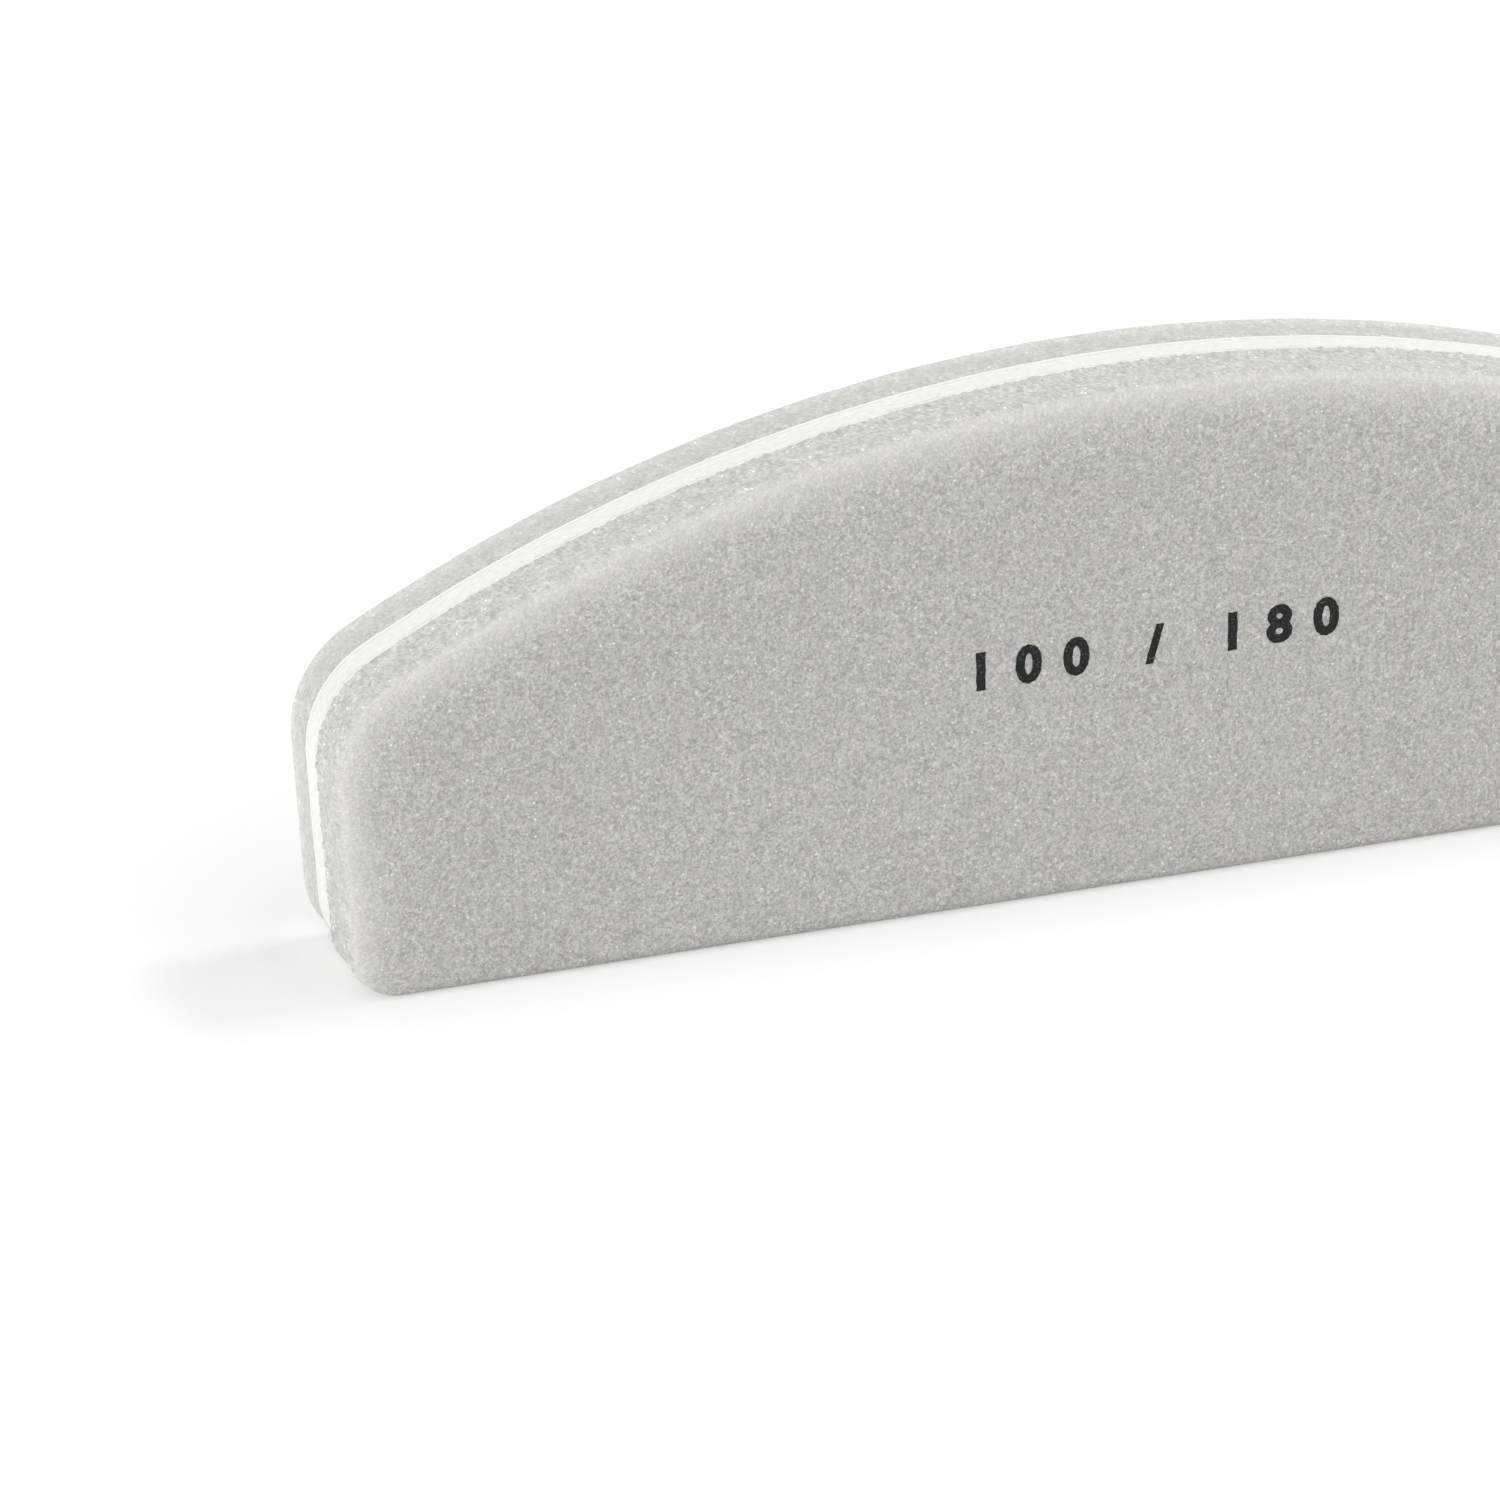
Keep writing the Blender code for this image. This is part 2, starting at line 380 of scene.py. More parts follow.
def buildCoat(side):
    bm = bmesh.new()
    thickness = padShape["coatThickness"]
    inner = [(inset, depth, thickness) for inset, depth in rimSections(thickness, *padShape["innerRings"])]
    outer = [(inset, depth, 0) for inset, depth in rimSections(0, *padShape["outerRings"])]
    face = sweepRings(bm, side, inner[::-1] + outer)
    cutGrid(bm, face, roughSurface["faceGrid"])
    splitWide(bm)
    bmesh.ops.recalc_face_normals(bm, faces=bm.faces)
    bm.normal_update()
    facing, nearEdge = roughSurface["coatSkin"]
    inwardOf = bm.verts.layers.float.new("inward")  # the coat's material reads these two, in mm
    overOf = bm.verts.layers.float.new("over")
    for vert in bm.verts:
        fromEdge = edgeDistance(vert.co.x, vert.co.z)
        inward = max(0, fromEdge)
        overLip = vert.co.y * side - padShape["seat"] - lipDepth
        vert[inwardOf] = inward / mm
        vert[overOf] = overLip / mm
        if vert.normal.y * side > facing or fromEdge < nearEdge:
            rise = vert.normal * coatHeight(vert.co, inward, side) * offBase(vert.normal)
            vert.co += rise * smoothShare(overLip, 0, roughSurface["coatFades"])
    return finishMesh(bm, "grit")


def buildSheet(name, side, sections):
    # a thin closed sheet with crisp edges
    bm = bmesh.new()
    sweepRings(bm, side, sections)
    return finishMesh(bm, name, crispFold)


filmShape = {
    "setBack": 0.03 * mm,  # flush with the core's edge
    "thickness": 0.118 * mm,
    "seatGap": 0.012 * mm,
    "dragged": 0.1 * mm,  # how far it reaches over the foam
    "dragDeep": 0.05 * mm,
}


def buildFilm(side):
    # the adhesive film out to the cut edge, with the lip that the cut has dragged over the foam
    edge, deep, lip = filmShape["setBack"], filmShape["dragDeep"], filmShape["dragged"]
    near = -filmShape["seatGap"]
    far = near - filmShape["thickness"]
    places = (edge, far), (edge, lip), (deep, lip), (deep, near)
    return buildSheet("film", side, [(inset, depth, inset) for inset, depth in places])


coreShape = {
    "setBack": 0.03 * mm,
    "edge": 0.04 * mm,
}


def buildCore(low, high):
    # the core plate from its front to its rear face
    out, edge = coreShape["setBack"], coreShape["edge"]
    far, near = low - padShape["seat"], high - padShape["seat"]
    rim = out + edge
    sections = [(rim, far, edge), (out, far + edge, 0), (out, near - edge, 0), (rim, near, edge)]
    return buildSheet("core", rear, sections)


def setSocket(tree, socket, value):
    if isinstance(value, bpy.types.NodeSocket):
        tree.links.new(value, socket)
    else:
        socket.default_value = value


def addNode(tree, kind, settings=None, **sockets):
    made = tree.nodes.new("ShaderNode" + kind)
    for key, value in (settings or {}).items():
        setattr(made, key, value)
    for key, value in sockets.items():
        setSocket(tree, made.inputs[key], value)
    return made


def worked(tree, kind, operation, *values):
    # the result of a Math or VectorMath node
    made = addNode(tree, kind, {"operation": operation})
    for socket, value in zip(made.inputs, values):
        setSocket(tree, socket, value)
    return made.outputs[0]


def sums(tree, operation, *values):
    return worked(tree, "Math", operation, *values)


def remap(tree, value, fromLow, fromHigh, toLow, toHigh, smooth=False):
    made = addNode(tree, "MapRange", {"interpolation_type": "SMOOTHSTEP"} if smooth else None)
    keys = "Value", "From Min", "From Max", "To Min", "To Max"
    for key, number in zip(keys, (value, fromLow, fromHigh, toLow, toHigh)):
        setSocket(tree, made.inputs[key], number)
    return made.outputs["Result"]


def risingShare(tree, value, start, end):
    return remap(tree, value, start, end, 0.0, 1.0, True)


def fallingShare(tree, value, start, end):
    return remap(tree, value, start, end, 1.0, 0.0, True)


def spread(tree, value, width, middle=0.0):
    # a value from 0 to 1 made to lie round a middle
    return sums(tree, "MULTIPLY_ADD", value, width, middle - width / 2)


def scaled(tree, colour, share):
    # a colour times a number
    made = addNode(tree, "VectorMath", {"operation": "SCALE"}, Scale=share)
    setSocket(tree, made.inputs[0], colour)
    return made.outputs[0]


def tinted(tree, colour, varied, width):
    # a colour that leans slightly towards another, which differs from place to place
    lean = worked(tree, "VectorMath", "MULTIPLY_ADD", varied["Color"], (width,) * 3, (1 - width / 2,) * 3)
    return worked(tree, "VectorMath", "MULTIPLY", lean, colour)


def mixed(tree, share, first, second, kind="RGBA"):
    made = addNode(tree, "Mix", {"data_type": kind})
    inputs = [socket for socket in made.inputs if socket.enabled]
    for socket, value in zip(inputs, (share, first, second)):
        setSocket(tree, socket, value)
    return next(socket for socket in made.outputs if socket.enabled)


def ramp(tree, value, stops):
    # stops: (place, colour) in order
    made = addNode(tree, "ValToRGB", Fac=value)
    elements = made.color_ramp.elements
    while len(elements) < len(stops):
        elements.new(0.5)
    for element, (place, colour) in zip(elements, stops):
        element.position = place
        element.color = (*colour, 1)
    return made.outputs["Color"]


def clouds(tree, place, size, detail=1.0, roughness=0.5, distortion=0.0):
    # soft noise, where size is the width of its features
    sockets = {"Scale": 1 / size, "Detail": detail, "Roughness": roughness, "Distortion": distortion}
    return addNode(tree, "TexNoise", Vector=place, **sockets).outputs


def noiseAt(tree, place, size, *settings):
    return clouds(tree, place, size, *settings)["Fac"]


def cellsAt(tree, place, size):
    # cells, each with a colour of its own, and one number from 0 to 1 for each
    cells = addNode(tree, "TexVoronoi", Vector=place, Scale=1 / size).outputs
    return cells, addNode(tree, "SeparateColor", Color=cells["Color"]).outputs["Red"]


def specksAt(tree, place, spacing, radius, share):
    # 1 in small round specks with a soft edge, one in some of the cells
    cells, picked = cellsAt(tree, place, spacing)
    reach, softness = radius / spacing, 0.02
    inside = fallingShare(tree, cells["Distance"], reach / 2, reach)
    return sums(tree, "MULTIPLY", inside, remap(tree, picked, 1 - share, 1 - share + softness, 0.0, 1.0))


def shifted(tree, place, move):
    return addNode(tree, "Mapping", Vector=place, Location=move).outputs["Vector"]


def depthAt(tree, place):
    return addNode(tree, "SeparateXYZ", Vector=place).outputs["Y"]


def newMaterial(name, finish):
    # the finish holds the shader's constants
    material = bpy.data.materials.new(name)
    material.use_nodes = True
    tree = material.node_tree
    shader = tree.nodes["Principled BSDF"]
    for key, value in finish.items():
        shader.inputs[key].default_value = value
    place = addNode(tree, "TexCoord").outputs["Object"]
    return material, tree, shader, place


def dress(tree, shader, look, colour, relief, wear):
    # links the colour, the fine relief, and the roughness that follows the wear
    tree.links.new(colour, shader.inputs["Base Color"])
    bump = addNode(tree, "Bump", Strength=look["bumpStrength"], Distance=look["bump"], Height=relief)
    tree.links.new(bump.outputs["Normal"], shader.inputs["Normal"])
    tree.links.new(remap(tree, wear, *look["roughness"]), shader.inputs["Roughness"])


# In these looks a noise is given by its size, detail, roughness and distortion, and a spread is how far it
# varies the colour. "roughness" holds two values of the wear and the two that they become in the shader.
cutFoam = {
    "base": (0.537, 0.538, 0.523),
    "cell": 0.19 * mm,  # cut cells, each with its own shade
    "cellSpread": 0.26,
    "cellMiddle": 0.98,
    "smudge": (0.75 * mm, 2.5),
    "smudgeSpread": 0.42,
    "streak": (0.12 * mm, 1.5),  # drawn out through the thickness by the cut
    "streakLean": (0, 0, radians(28)),
    "streakStretch": (1, 3.5, 1),
    "streakSpread": 0.72,
    "tintSpread": 0.05,
    # painted glints of cut cells that face the light, as bright sparkles
    "paintedSparkle": 0.85,
    "paintedSparkles": (0.34 * mm, 0.085 * mm, 0.6),  # spacing, radius, and share of the places that hold one
    "sparkleIn": (0.45, 0.62),  # where the smudges are light
    "rearContrast": 0.55,  # the rear pad is cut smoother
    "rearFrom": (1.3 * mm, 2.3 * mm),
    "rimLight": 0.14,  # painted light along the rear pad's far rim
    "rimLightFrom": (2.6 * mm, 3.5 * mm),
    "bump": 0.03 * mm,
    "bumpStrength": 0.5,
    "roughness": (0.4, 1.2, 0.8, 0.97),
    "finish": {
        "Metallic": 0.0,
        "IOR": 1.45,
        "Specular IOR Level": 0.45,
        "Sheen Weight": 0.12,
        "Sheen Roughness": 0.5,
    },
}


def paintedRearRimLight(tree, place, colour, share=1.0):
    # lightens the rear pad towards its far rim: painted light
    shade = remap(tree, depthAt(tree, place), *cutFoam["rimLightFrom"], 0.0, cutFoam["rimLight"], True)
    rimLight = sums(tree, "MULTIPLY", shade, share)
    return scaled(tree, colour, sums(tree, "ADD", rimLight, 1.0))


def cutFoamLook(tree, place):
    # base colour and height of the cut foam, with painted glints as sparkles in the colour
    look = cutFoam
    cells, shade = cellsAt(tree, place, look["cell"])
    smudge = noiseAt(tree, place, *look["smudge"])
    stretched = {"Rotation": look["streakLean"], "Scale": look["streakStretch"]}
    drawn = addNode(tree, "Mapping", {"vector_type": "TEXTURE"}, Vector=place, **stretched)
    streak = noiseAt(tree, drawn.outputs["Vector"], *look["streak"])
    paintedSparkle = specksAt(tree, place, *look["paintedSparkles"])
    paintedSparkle = sums(tree, "MULTIPLY", paintedSparkle, risingShare(tree, smudge, *look["sparkleIn"]))
    level = spread(tree, shade, look["cellSpread"], look["cellMiddle"])
    level = sums(tree, "ADD", level, spread(tree, smudge, look["smudgeSpread"]))
    level = sums(tree, "ADD", level, spread(tree, streak, look["streakSpread"]))
    level = sums(tree, "MULTIPLY_ADD", paintedSparkle, look["paintedSparkle"], level)
    contrast = remap(tree, depthAt(tree, place), *look["rearFrom"], 1.0, look["rearContrast"], True)
    level = sums(tree, "MULTIPLY_ADD", sums(tree, "SUBTRACT", level, 1.0), contrast, 1.0)
    height = sums(tree, "ADD", cells["Distance"], streak)
    return scaled(tree, tinted(tree, look["base"], cells, look["tintSpread"]), level), height


def foamMaterial(name):
    material, tree, shader, place = newMaterial(name, cutFoam["finish"])
    colour, height = cutFoamLook(tree, place)
    dress(tree, shader, cutFoam, paintedRearRimLight(tree, place, colour), height, height)
    return material


gritCoat = {
    "byInset": (  # base colour by the distance in from the edge, in mm: partly the coat's own paler rim, partly a painted highlight along the rounded rim that fades inwards over the shoulder
        (0.0, 0.565), (0.4, 0.605), (1.0, 0.557), (1.5, 0.529),
        (2.0, 0.508), (3.0, 0.482), (4.5, 0.467), (6.0, 0.461),
    ),
    "tint": (1.010, 1.0, 0.970),
    "grain": 0.14 * mm,  # grains, each with its own shade
    "grainSpread": 0.18,
    "grainTint": 0.018,
    "island": (0.15 * mm, 1.5, 0.55, 0.5),  # resin between the grains, in patches with crisp edges
    "islandEdge": (0.42, 0.58),
    "islandSpread": 0.26,
    "paintedGlint": 0.32,  # painted glints on the edges of grains
    "gapShade": 0.12,  # and painted shade in the gaps between them
    "gapShadeShift": (0.1, 0.0, 0.13),
    "stroke": (0.21 * mm, 1.0, 0.5, 0.8),
    "strokeWidth": 0.09,
    "strokeLength": 0.26 * mm,
    "strokeBroken": (0.5, 0.5, 0.5),  # shift of the noise that breaks it
    "strokeKept": (0.45, 0.55),
    "cloud": (1.1 * mm, 2.0),
    "cloudSpread": 0.06,
    "cloudMiddle": 0.99,
    "cloudTint": 0.08,
    # painted glints of single grains, as bright specks
    "glintSpeck": 0.55,
    "glintSpecks": (0.36 * mm, 0.08 * mm, 0.45),
    "rimContrast": 0.42,
    "contrastFrom": (0.5, 2.6),  # in from the edge, in mm
    "rimLightReach": (0.3, 1.0),  # in from the edge, in mm, where the painted light on the rear rim ends
    "startsAt": (0.35, 0.62),  # past the lip, in mm, where the coat takes over from the bare foam
    "ragged": (0.35 * mm, 2.0),
    "raggedSpread": 0.5,
    "bump": 0.035 * mm,
    "bumpStrength": 0.5,
    "roughness": (-0.5, 0.5, 0.95, 0.8),
    "finish": {
        "Metallic": 0.0,
        "IOR": 1.5,
        "Specular IOR Level": 0.4,
        "Sheen Weight": 0.08,
        "Sheen Roughness": 0.5,
    },
}


def strokesAt(tree, place, look):
    # 1 along thin winding strokes, broken into short lengths
    drift = noiseAt(tree, place, *look["stroke"])
    off = sums(tree, "ABSOLUTE", sums(tree, "SUBTRACT", drift, 0.5))
    stroke = fallingShare(tree, off, 0.0, look["strokeWidth"])
    kept = noiseAt(tree, shifted(tree, place, look["strokeBroken"]), look["strokeLength"])
    return sums(tree, "MULTIPLY", stroke, risingShare(tree, kept, *look["strokeKept"]))


def gritCoatLook(tree, place, inward):
    # base colour and height of the grit, where inward is the distance in from the edge; the colour holds a
    # painted rim highlight, painted glints and painted shade in the gaps
    look = gritCoat
    reach = look["byInset"][-1][0]
    # the coat's colour with its painted rim highlight
    stops = [(at / reach, [level * part for part in look["tint"]]) for at, level in look["byInset"]]
    base = ramp(tree, sums(tree, "DIVIDE", inward, reach), stops)
    grains, shade = cellsAt(tree, place, look["grain"])
    drift = noiseAt(tree, place, *look["island"])
    island = risingShare(tree, drift, *look["islandEdge"])
    glintStrokes = strokesAt(tree, place, look)
    shadedGaps = strokesAt(tree, shifted(tree, place, look["gapShadeShift"]), look)
    patches = spread(tree, island, look["islandSpread"])
    level = sums(tree, "ADD", spread(tree, shade, look["grainSpread"]), patches)
    # painted glints on the edges of grains
    level = sums(tree, "MULTIPLY_ADD", glintStrokes, look["paintedGlint"], level)
    # painted shade in the gaps between grains
    level = sums(tree, "MULTIPLY_ADD", shadedGaps, -look["gapShade"], level)
    level = sums(tree, "MULTIPLY_ADD", specksAt(tree, place, *look["glintSpecks"]), look["glintSpeck"], level)
    contrast = remap(tree, inward, *look["contrastFrom"], look["rimContrast"], 1.0, True)
    cloud = clouds(tree, place, *look["cloud"])
    cloudLevel = spread(tree, cloud["Fac"], look["cloudSpread"], look["cloudMiddle"])
    level = sums(tree, "MULTIPLY_ADD", level, contrast, cloudLevel)
    low = sums(tree, "ADD", grains["Distance"], shadedGaps)
    height = sums(tree, "SUBTRACT", sums(tree, "ADD", drift, glintStrokes), low)
    colour = tinted(tree, tinted(tree, base, grains, look["grainTint"]), cloud, look["cloudTint"])
    return scaled(tree, colour, level), sums(tree, "MULTIPLY", height, contrast)


def gritMaterial(name):
    # bare foam at the lip, then the grit coat
    look = gritCoat
    material, tree, shader, place = newMaterial(name, look["finish"])
    inward = addNode(tree, "Attribute", {"attribute_name": "inward"}).outputs["Fac"]
    over = addNode(tree, "Attribute", {"attribute_name": "over"}).outputs["Fac"]
    ragged = spread(tree, noiseAt(tree, place, *look["ragged"]), look["raggedSpread"])
    coated = risingShare(tree, sums(tree, "ADD", over, ragged), *look["startsAt"])
    foamColour, foamRise = cutFoamLook(tree, place)
    gritColour, gritRise = gritCoatLook(tree, place, inward)
    colour = mixed(tree, coated, foamColour, gritColour)
    height = mixed(tree, coated, foamRise, gritRise, "FLOAT")
    # the painted light on the rear rim stays near its edge
    atRim = fallingShare(tree, inward, *look["rimLightReach"])
    dress(tree, shader, look, paintedRearRimLight(tree, place, colour, atRim), height, height)
    return material


coreSheet = {
    "base": (0.764, 0.758, 0.729),
    "shear": (0.12 * mm, 2.0),  # fine marks along the strip
    "shearStretch": (0.3, 1.0, 0.3),
    "shearSpread": 0.42,
    "cloud": (2.2 * mm, 2.0),
    "cloudSpread": 0.05,
    "filmEdge": -0.58 * mm,  # a faint line along the strip, where the front film starts
    "filmWander": (1.3 * mm, 2.0),
    "filmWanderSpread": 0.25 * mm,
    "filmWidth": (0.02 * mm, 0.09 * mm),
    "filmLine": 0.16,
    "filmShown": (0.4, 0.6, 0.2, 1.0),  # it shows less where the clouds are dark
    "bump": 0.01 * mm,
    "bumpStrength": 0.25,
    "roughness": (0.3, 0.7, 0.36, 0.5),
    "finish": {"Metallic": 0.0, "IOR": 1.49, "Specular IOR Level": 0.4},
}


def coreMaterial(name):
    look = coreSheet
    material, tree, shader, place = newMaterial(name, look["finish"])
    along = addNode(tree, "Mapping", Vector=place, Scale=look["shearStretch"]).outputs["Vector"]
    shear = noiseAt(tree, along, *look["shear"])
    cloud = noiseAt(tree, place, *look["cloud"])
    wander = noiseAt(tree, place, *look["filmWander"])
    wander = spread(tree, wander, look["filmWanderSpread"], -look["filmEdge"])
    off = sums(tree, "ABSOLUTE", sums(tree, "ADD", depthAt(tree, place), wander))
    line = fallingShare(tree, off, *look["filmWidth"])
    line = sums(tree, "MULTIPLY", line, remap(tree, cloud, *look["filmShown"]))
    level = spread(tree, shear, look["shearSpread"])
    level = sums(tree, "ADD", level, spread(tree, cloud, look["cloudSpread"], 1.0))
    level = sums(tree, "MULTIPLY_ADD", line, -look["filmLine"], level)
    dress(tree, shader, look, scaled(tree, look["base"], level), shear, cloud)
    return material


glueFilm = {
    "base": (0.825, 0.817, 0.788),
    "cloud": (0.8 * mm, 2.0),
    "shade": (0.3, 0.7, 0.97, 1.02),  # two values of the clouds, and the two levels that they give
    "ripple": (0.1 * mm, 2.0),
    "bump": 0.01 * mm,
    "bumpStrength": 0.3,
    "roughness": (0.3, 0.7, 0.3, 0.45),
    "finish": {"Metallic": 0.0, "IOR": 1.47},
}


def glueMaterial(name):
    look = glueFilm
    material, tree, shader, place = newMaterial(name, look["finish"])
    cloud = noiseAt(tree, place, *look["cloud"])
    colour = scaled(tree, look["base"], remap(tree, cloud, *look["shade"]))
    dress(tree, shader, look, colour, noiseAt(tree, place, *look["ripple"]), cloud)
    return material


foamStuff = foamMaterial("cutFoam")
gritStuff = gritMaterial("gritCoat")
for side, name in ((front, "front"), (rear, "rear")):
    foam = addPiece(name + "Foam", buildFoam(side), foamStuff)
    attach(foam, "root")
    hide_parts(name + "_foam_pad")
    coat = addPiece(name + "Grit", buildCoat(side), gritStuff)
    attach(coat, "root")
    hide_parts(name + "_grit_coat")
    print(name, "pad built:", len(foam.data.polygons), "and", len(coat.data.polygons), "faces")

glueStuff = glueMaterial("glueFilm")
film = addPiece("rearFilm", buildFilm(rear), glueStuff)
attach(film, "root")
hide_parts("rear_glue_film")
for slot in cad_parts["front_glue_film"].material_slots:
    slot.material = glueStuff
coreLow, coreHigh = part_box("core_plate")
core = addPiece("corePlate", buildCore(coreLow.y, coreHigh.y), coreMaterial("whiteCore"))
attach(core, "root")
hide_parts("core_plate")
print("core and glue films built")

# grit numbers printed on the front face
printedNumbers = {
    "text": "100 / 180",
    "capHeight": 2.2 * mm,
    "spacing": 1.9,
    "boldness": 0.044,  # for type one unit high, like the next length
    "merge": 1e-5,
    "curveSteps": 4,
    "middle": Vector((-0.1 * mm, 0, 13.6 * mm)),
    "turn": radians(0.9),
    "proud": 0.012 * mm,
    "thickness": 0.008 * mm,
    "ragged": 0.045 * mm,
    "raggedSize": 0.13 * mm,
    "raggedSeed": 1,
    "longestEdge": 0.16 * mm,
    "splits": 3,  # how often the edges that are longer are cut in half
}


def flatNumbers(look):
    # the numbers as a flat mesh that faces up
    curve = bpy.data.curves.new("numbers", "FONT")
    curve.body = look["text"]
    curve.space_character = look["spacing"]
    curve.offset = look["boldness"]
    curve.align_x, curve.align_y = "CENTER", "CENTER"
    curve.resolution_u = look["curveSteps"]
    words = bpy.data.objects.new("numbers", curve)
    bpy.context.scene.collection.objects.link(words)
    bpy.context.view_layer.update()
    mesh = bpy.data.meshes.new_from_object(words.evaluated_get(bpy.context.evaluated_depsgraph_get()))
    bpy.data.objects.remove(words)
    return mesh


def turnMesh(bm, angle, axis):
    bmesh.ops.rotate(bm, verts=bm.verts, cent=(0, 0, 0), matrix=Matrix.Rotation(angle, 3, axis))


def buildNumbers(look):
    bm = bmesh.new()
    bm.from_mesh(flatNumbers(look))
    bmesh.ops.remove_doubles(bm, verts=bm.verts, dist=look["merge"])
    low, high = min(v.co.y for v in bm.verts), max(v.co.y for v in bm.verts)
    bmesh.ops.scale(bm, verts=bm.verts, vec=Vector((1, 1, 1)) * look["capHeight"] / (high - low))
    for times in range(look["splits"]):
        long = [edge for edge in bm.edges if edge.calc_length() > look["longestEdge"]]
        bmesh.ops.subdivide_edges(bm, edges=long, cuts=1)
        bmesh.ops.triangulate(bm, faces=bm.faces)
    turnMesh(bm, look["turn"], "Z")
    noise.seed_set(look["raggedSeed"])
    for vert in bm.verts:
        vert.co += noise.noise_vector(vert.co / look["raggedSize"]) * look["ragged"] * vert.is_boundary
    turnMesh(bm, pi / 2, "X")
    bmesh.ops.translate(bm, verts=bm.verts, vec=look["middle"])
    face = padShape["seat"] + padShape["faceDepth"]
    farInside = roughSurface["faceFrom"][1]
    for vert in bm.verts:
        onFace = Vector((vert.co.x, -face, vert.co.z))
        vert.co.y = -face - coatHeight(onFace, farInside, front) - look["proud"]
    grown = bmesh.ops.extrude_face_region(bm, geom=bm.faces[:])["geom"]
    outer = [element for element in grown if isinstance(element, bmesh.types.BMVert)]
    bmesh.ops.translate(bm, verts=outer, vec=(0, -look["thickness"], 0))
    bmesh.ops.recalc_face_normals(bm, faces=bm.faces)
    made = bpy.data.meshes.new("gritNumbers")
    bm.to_mesh(made)
    bm.free()
    return made


darkInk = {
    "worn": (0.11 * mm, 2.0),
    "shades": (  # from full ink to worn through
        (0.0, (0.006, 0.006, 0.0065)),
        (0.58, (0.013, 0.013, 0.014)),
        (0.74, (0.13, 0.13, 0.128)),
    ),
    "bump": 0.02 * mm,
    "bumpStrength": 0.5,
    "roughness": (0.3, 0.7, 0.6, 0.85),
    "finish": {"Metallic": 0.0, "IOR": 1.45, "Specular IOR Level": 0.25},
}


def inkMaterial(name):
    material, tree, shader, place = newMaterial(name, darkInk["finish"])
    worn = noiseAt(tree, place, *darkInk["worn"])
    dress(tree, shader, darkInk, ramp(tree, worn, darkInk["shades"]), worn, worn)
    return material


numbers = addPiece("gritNumbers", buildNumbers(printedNumbers), inkMaterial("darkInk"))
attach(numbers, "root")
print("grit numbers printed")

studio = {
    "floorColour": (0.90, 0.90, 0.898),
    "floorSize": 3.0,
    "floorParts": 8,
    "floorDrop": 0.008 * mm,
    "floorCloud": 0.08,  # size of the soft clouds in its colour
    "floorCloudLevels": (0.99, 1.01),
    "floorFinish": {
        "Metallic": 0.0,
        "IOR": 1.45,
        "Specular IOR Level": 0.0,
        "Roughness": 0.9,
        "Emission Color": (1, 1, 1, 1),
    },
    "floorSeen": 0.50,  # share of the floor's own light that the camera sees
    "floorLift": 0.506,  # and the white that it sees beyond that
    "footprint": (0.042, 0.0045),  # half the length and depth of the spot that the buffer stands on
    "paintedFarLight": 0.05,  # painted light farther off, that whitens the far end of the buffer's shadows
    "farFrom": (0.008, 0.014),
    "farDepth": 0.4,  # less so behind and in front
    "paintedNearLight": 0.10,  # and painted light close beside the ends, over the contact shadow
    "nearReach": 0.0038,
    "nearBack": (-0.0045, -0.002),  # from the front face towards the rear
    "nearEnd": 0.0012,  # and from the end outwards
    "sky": 0.40,  # brightness of the room on everything but the camera
    "lamps": {  # level, degrees round from the front towards the right, degrees up, and softness in degrees
        "left": (0.485, -90, 9, 16),
        "leftCorner": (0.139, -45, 25, 40),
        "front": (0.298, 30, 50, 50),
        "right": (0.330, 90, 12, 20),
        "rightHigh": (0.160, 85, 30, 40),
        "shadow": (0.228, 97, 58, 14),
        "back": (0.080, 180, 45, 50),
    },
}


def seenShare(tree):
    # 1 where the camera sees something itself, by a reflection or through something clear
    ray = addNode(tree, "LightPath").outputs
    seen = sums(tree, "MAXIMUM", ray["Is Camera Ray"], ray["Is Transmission Ray"])
    return sums(tree, "MAXIMUM", seen, ray["Is Glossy Ray"])


def hypotenuse(tree, first, second):
    squares = (sums(tree, "MULTIPLY", leg, leg) for leg in (first, second))
    return sums(tree, "SQRT", sums(tree, "ADD", *squares))


def whiteAndPaintedLight(tree, place):
    # the white that the camera sees beyond the floor's own light, by the distance from the footprint, with
    # painted light beside the ends and farther off
    look = studio
    axes = addNode(tree, "SeparateXYZ", Vector=place).outputs
    length, depth = (
        sums(tree, "MAXIMUM", sums(tree, "SUBTRACT", sums(tree, "ABSOLUTE", axes[axis]), reach), 0.0)
        for axis, reach in zip("XY", look["footprint"])
    )
    # painted light close beside the ends, over the contact shadow
    near = remap(tree, hypotenuse(tree, length, depth), 0, look["nearReach"], look["paintedNearLight"], 0, True)
    near = sums(tree, "MULTIPLY", near, risingShare(tree, axes["Y"], *look["nearBack"]))
    near = sums(tree, "MULTIPLY", near, risingShare(tree, length, 0, look["nearEnd"]))
    off = hypotenuse(tree, length, sums(tree, "MULTIPLY", depth, look["farDepth"]))
    farPaintedWhite = look["floorLift"] + look["paintedFarLight"]
    far = remap(tree, off, *look["farFrom"], look["floorLift"], farPaintedWhite, True)
    return sums(tree, "ADD", near, far)


def floorMaterial(name):
    material, tree, shader, place = newMaterial(name, studio["floorFinish"])
    cloud = remap(tree, noiseAt(tree, place, studio["floorCloud"]), 0, 1, *studio["floorCloudLevels"])
    seen = seenShare(tree)
    level = sums(tree, "MULTIPLY", remap(tree, seen, 0, 1, 1, studio["floorSeen"]), cloud)
    tree.links.new(scaled(tree, studio["floorColour"], level), shader.inputs["Base Color"])
    white = sums(tree, "MULTIPLY", seen, whiteAndPaintedLight(tree, place))
    tree.links.new(white, shader.inputs["Emission Strength"])
    return material


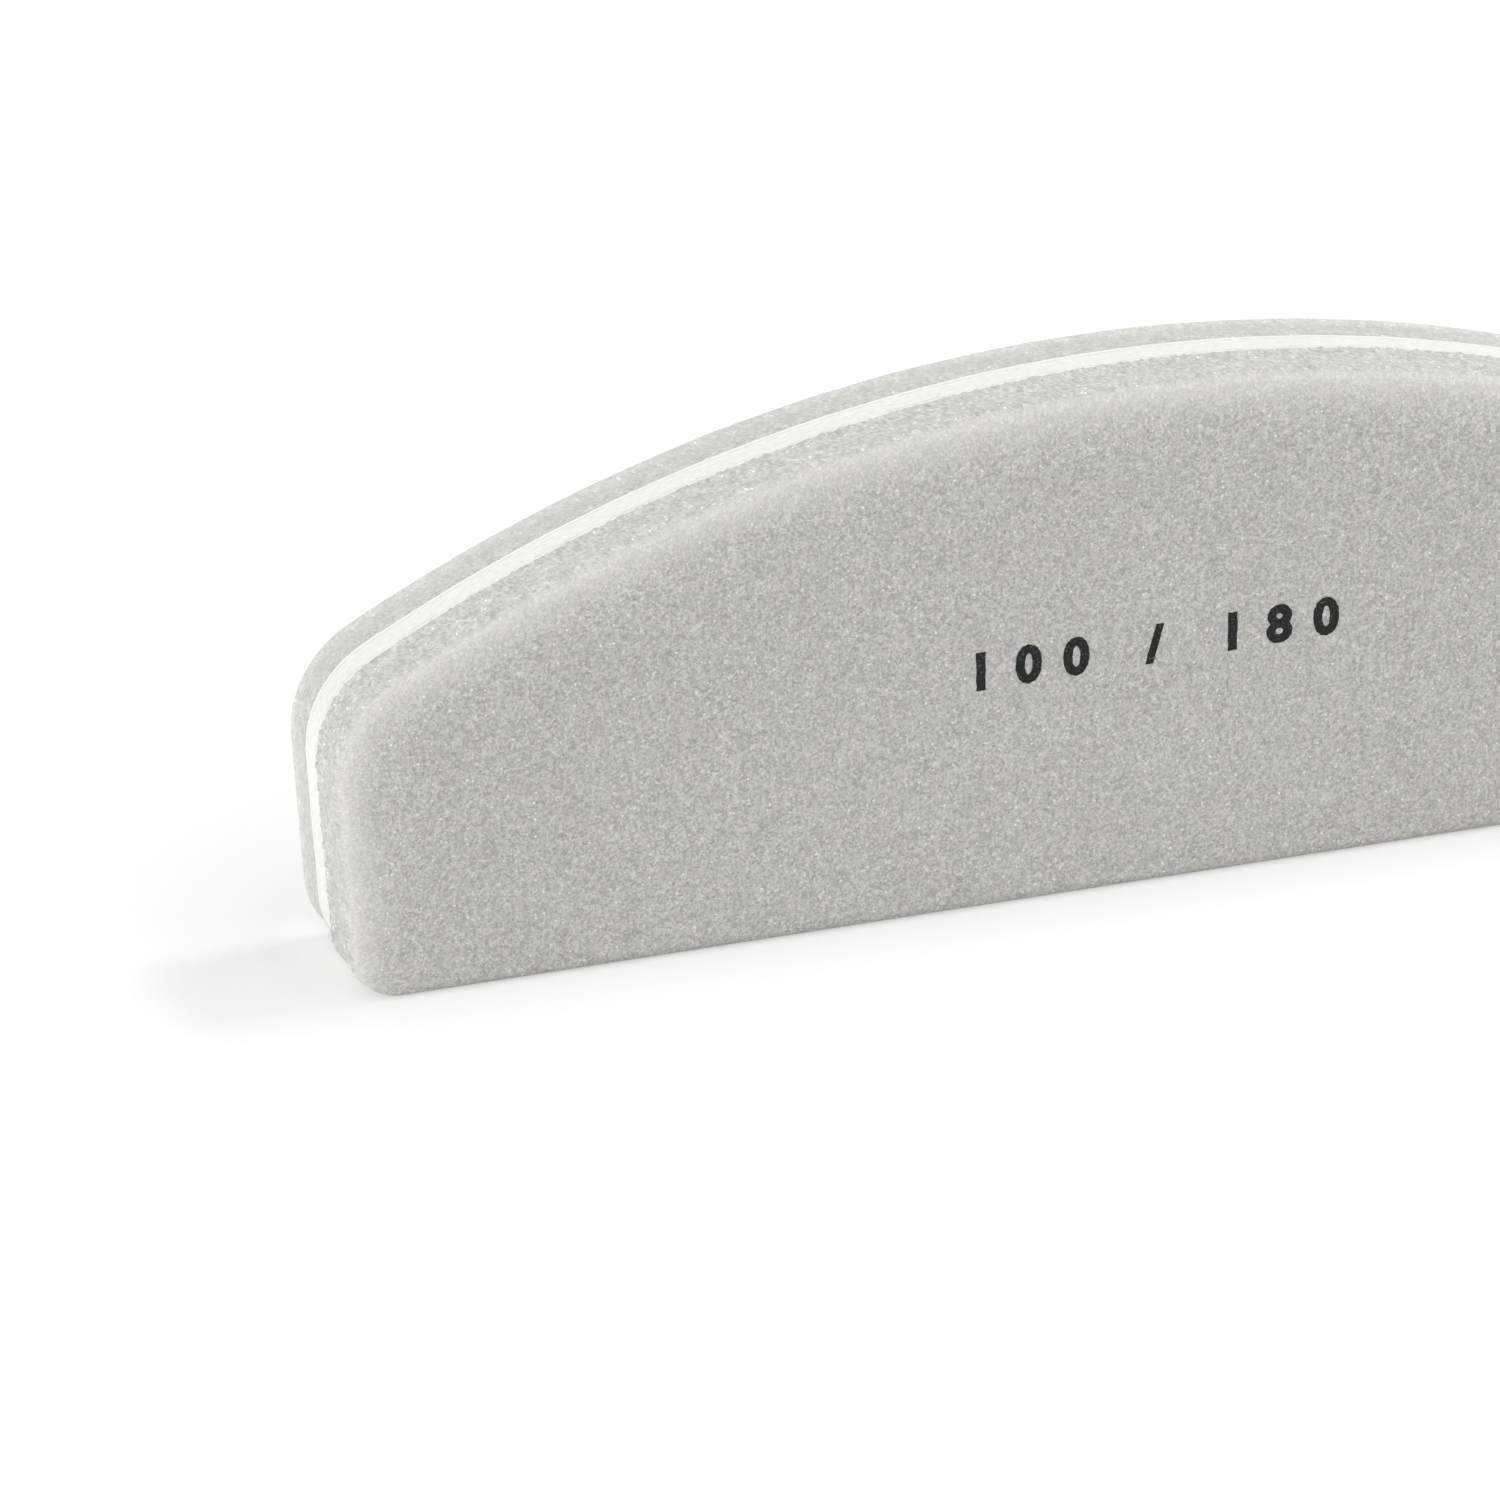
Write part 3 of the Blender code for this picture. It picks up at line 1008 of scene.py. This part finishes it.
def addFloor():
    bm = bmesh.new()
    parts = studio["floorParts"]
    bmesh.ops.create_grid(bm, x_segments=parts, y_segments=parts, size=studio["floorSize"])
    bmesh.ops.translate(bm, verts=bm.verts, vec=(0, 0, -studio["floorDrop"]))
    mesh = bpy.data.meshes.new("floor")
    bm.to_mesh(mesh)
    bm.free()
    material = floorMaterial("paleFloor")
    addPiece("floor", mesh, material)


def addLamp(name, level, around, upward, softness):
    # the level is the light that falls on a surface square to the lamp, where 1 shows a colour as written
    turn, rise = radians(around), radians(upward)
    lamp = bpy.data.lights.new(name, "SUN")
    lamp.energy = pi * level
    lamp.angle = radians(softness)
    sun = bpy.data.objects.new(name + "Light", lamp)
    sun.location = Vector((sin(turn) * cos(rise), -cos(turn) * cos(rise), sin(rise)))
    sun.rotation_euler = sun.location.to_track_quat("Z", "Y").to_euler()
    bpy.context.scene.collection.objects.link(sun)


def addSky():
    # the camera sees it white
    world = bpy.data.worlds.new("room")
    world.use_nodes = True
    tree = world.node_tree
    background = tree.nodes["Background"]
    background.inputs["Color"].default_value = (1, 1, 1, 1)
    strength = remap(tree, seenShare(tree), 0.0, 1.0, studio["sky"], 1.0)
    tree.links.new(strength, background.inputs["Strength"])
    bpy.context.scene.world = world


cameraPlace = {
    "elevation": radians(24.0187),
    "fromLeft": radians(19.9048),
    "distance": 0.422742,
    "right": -0.0194368,
    "up": 0.0052617,
    "lens": 192,
    "sensor": 36,
    "sees": (0.01, 20),  # nearest and farthest
}


def addCamera(place):
    turn, tilt = place["fromLeft"], place["elevation"]
    look = Vector((sin(turn) * cos(tilt), cos(turn) * cos(tilt), -sin(tilt)))
    right = Vector((cos(turn), -sin(turn), 0))
    lens = bpy.data.cameras.new("photoCamera")
    lens.lens, lens.sensor_width = place["lens"], place["sensor"]
    lens.clip_start, lens.clip_end = place["sees"]
    camera = bpy.data.objects.new("photoCamera", lens)
    camera.location = -look * place["distance"] + right * place["right"] + right.cross(look) * place["up"]
    camera.rotation_euler = look.to_track_quat("-Z", "Y").to_euler()
    bpy.context.scene.collection.objects.link(camera)
    bpy.context.scene.camera = camera


addFloor()
for name, settings in studio["lamps"].items():
    addLamp(name, *settings)
addSky()
addCamera(cameraPlace)
bpy.context.scene.view_settings.view_transform = "Standard"
print("floor, lights and camera placed")

bpy.context.view_layer.update()
